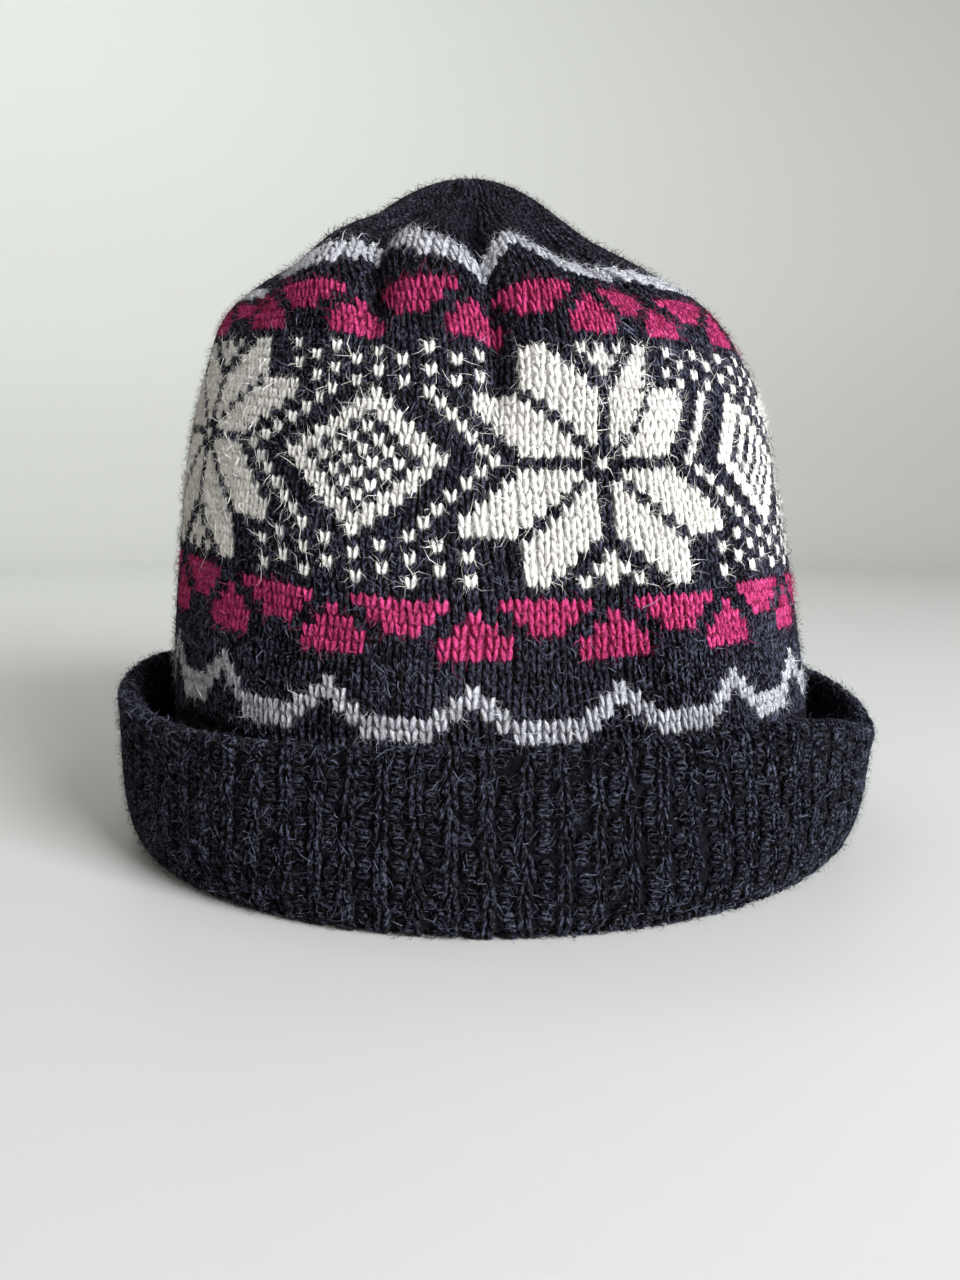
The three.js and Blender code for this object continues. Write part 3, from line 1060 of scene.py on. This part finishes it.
def crown_fuzz(azimuth, row, yarn):
    for name, colour, count, length, shade, light in FUZZ:
        rooted = np.flatnonzero((yarn == colour) & (crown_radius(row) > TOP_FUZZ_RADIUS))
        chosen = rng.choice(rooted, count)
        start_row = row[chosen] + rng.uniform(-0.5, 0.5, count)
        mm_per_degree = np.radians(1) * np.maximum(crown_radius(start_row), TOP_FUZZ_RADIUS)
        start = azimuth[chosen] + rng.uniform(-ROOT_ASIDE, ROOT_ASIDE, count) / mm_per_degree
        material = fuzz_material(f"{name}_fibres", shade, light)
        # Painted shade: the fuzz's tones are darkened towards the tip.
        fibres(
            name, crown_place, start, start_row, mm_per_degree, ROW_HEIGHT, length, material,
            painted_tip_shade(start_row, colour, FUZZ_PAINTED_SHADE),
        )


def cuff_fuzz():
    azimuth = rng.uniform(0, 360, CUFF_FIBRES)
    row = rng.uniform(CUFF_FIRST_ROW, CUFF_LAST_ROW, CUFF_FIBRES)
    mm_per_degree = np.full(CUFF_FIBRES, math.radians(1) * FOOT_SIDE_RADIUS)
    material = fuzz_material("cuff_fibres", CUFF_FIBRE_SHADE, CUFF_FIBRE_LIGHT)
    fibres(
        "cuff_fuzz", cuff_place, azimuth, row, mm_per_degree, CUFF_ROW_HEIGHT, CUFF_FIBRE_LENGTH,
        material,
    )


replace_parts(crown_shell(), "crown")
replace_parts(cuff_shell(), "cuff")
crown_fuzz(*crown_knitting())
cuff_knitting()
cuff_fuzz()


# Stage, light and camera, in metres

FLOOR_COLOUR = (0.62, 0.62, 0.605)
FLOOR_RADIUS = 1.5
SWEEP_RADIUS = 0.7
WALL_HEIGHT = 1.8
FLOOR_HUB_RADIUS = 0.02
FLOOR_COLUMNS = 96
SWEEP_STEPS = 12
FLOOR_ROUGHNESS = 0.45
FLOOR_SPECULAR = 0.3


def studio_floor():
    """A pale floor that sweeps up into a wall all round."""
    turns = np.linspace(0, math.pi / 2, SWEEP_STEPS + 1)
    profile = [(FLOOR_HUB_RADIUS, 0.0), (FLOOR_RADIUS / 2, 0.0)]
    profile += [(FLOOR_RADIUS + SWEEP_RADIUS * math.sin(a), SWEEP_RADIUS * (1 - math.cos(a))) for a in turns]
    profile.append((FLOOR_RADIUS + SWEEP_RADIUS, WALL_HEIGHT))
    columns = FLOOR_COLUMNS
    angle = np.arange(columns) * 2 * math.pi / columns
    points = [np.stack([r * np.cos(angle), r * np.sin(angle), np.full(columns, z)], 1) for r, z in profile]
    faces = [ring_faces(k * columns, (k + 1) * columns, columns) for k in range(len(profile) - 1)]
    faces = [tuple(face) for face in np.concatenate(faces)[:, ::-1].tolist()]
    faces.append(tuple(range(columns)))
    mesh = bpy.data.meshes.new("studio_floor")
    mesh.from_pydata(np.concatenate(points).tolist(), [], faces)
    mesh.polygons.foreach_set("use_smooth", np.ones(len(faces), bool))
    material = bpy.data.materials.new("pale_floor")
    material.use_nodes = True
    shader = material.node_tree.nodes["Principled BSDF"]
    shader.inputs["Base Color"].default_value = (*FLOOR_COLOUR, 1)
    shader.inputs["Roughness"].default_value = FLOOR_ROUGHNESS
    shader.inputs["Specular IOR Level"].default_value = FLOOR_SPECULAR
    mesh.materials.append(material)
    floor = bpy.data.objects.new("studio_floor", mesh)
    bpy.context.scene.collection.objects.link(floor)


LIGHTS = (
    # name, place, target, width, watts, colour
    ("key", (0.85, -0.90, 0.58), (0.0, 0.0, 0.10), 0.6, 38.0, (0.96, 0.98, 1.0)),
    ("fill", (-1.1, -0.6, 0.35), (0.0, 0.0, 0.10), 0.9, 1.8, (1.0, 0.80, 0.60)),
    ("top", (-0.1, 0.3, 1.4), (0.0, 0.0, 0.10), 0.8, 0.5, (0.96, 0.99, 1.0)),
    ("wall", (-0.5, 0.6, 1.6), (-0.7, 2.2, 0.5), 1.2, 21.0, (0.96, 1.0, 0.95)),
)
WORLD_COLOUR = (0.80, 0.85, 0.88)
WORLD_STRENGTH = 0.12


def face_target(item, target):
    back = np.array(item.location) - np.array(target)
    across = math.hypot(back[0], back[1])
    item.rotation_euler = (math.atan2(across, back[2]), 0, math.atan2(back[0], -back[1]))


def studio_light():
    for name, place, target, width, watts, colour in LIGHTS:
        lamp = bpy.data.lights.new(name, "AREA")
        lamp.size = width
        lamp.energy = watts
        lamp.color = colour
        item = bpy.data.objects.new(name, lamp)
        item.location = place
        face_target(item, target)
        item.visible_camera = False
        bpy.context.scene.collection.objects.link(item)
    world = bpy.data.worlds.new("studio")
    world.use_nodes = True
    background = world.node_tree.nodes["Background"]
    background.inputs["Color"].default_value = (*WORLD_COLOUR, 1)
    background.inputs["Strength"].default_value = WORLD_STRENGTH
    bpy.context.scene.world = world
    bpy.context.scene.view_settings.view_transform = "Standard"


CAMERA_PLACE = (0.0, -0.310, 0.093)
CAMERA_DOWN = 7.4
CAMERA_TURN = 0.6
LENS = 27
FILM_LONG_SIDE = 36
NEAREST_SEEN = 0.02


def photo_camera():
    """A phone camera close in front of the hat, looking a little down."""
    lens = bpy.data.cameras.new("photo_camera")
    lens.lens = LENS
    lens.sensor_width = FILM_LONG_SIDE
    lens.clip_start = NEAREST_SEEN
    camera = bpy.data.objects.new("photo_camera", lens)
    camera.location = CAMERA_PLACE
    camera.rotation_euler = (math.radians(90 - CAMERA_DOWN), 0, math.radians(CAMERA_TURN))
    bpy.context.scene.collection.objects.link(camera)
    bpy.context.scene.camera = camera


studio_floor()
studio_light()
photo_camera()
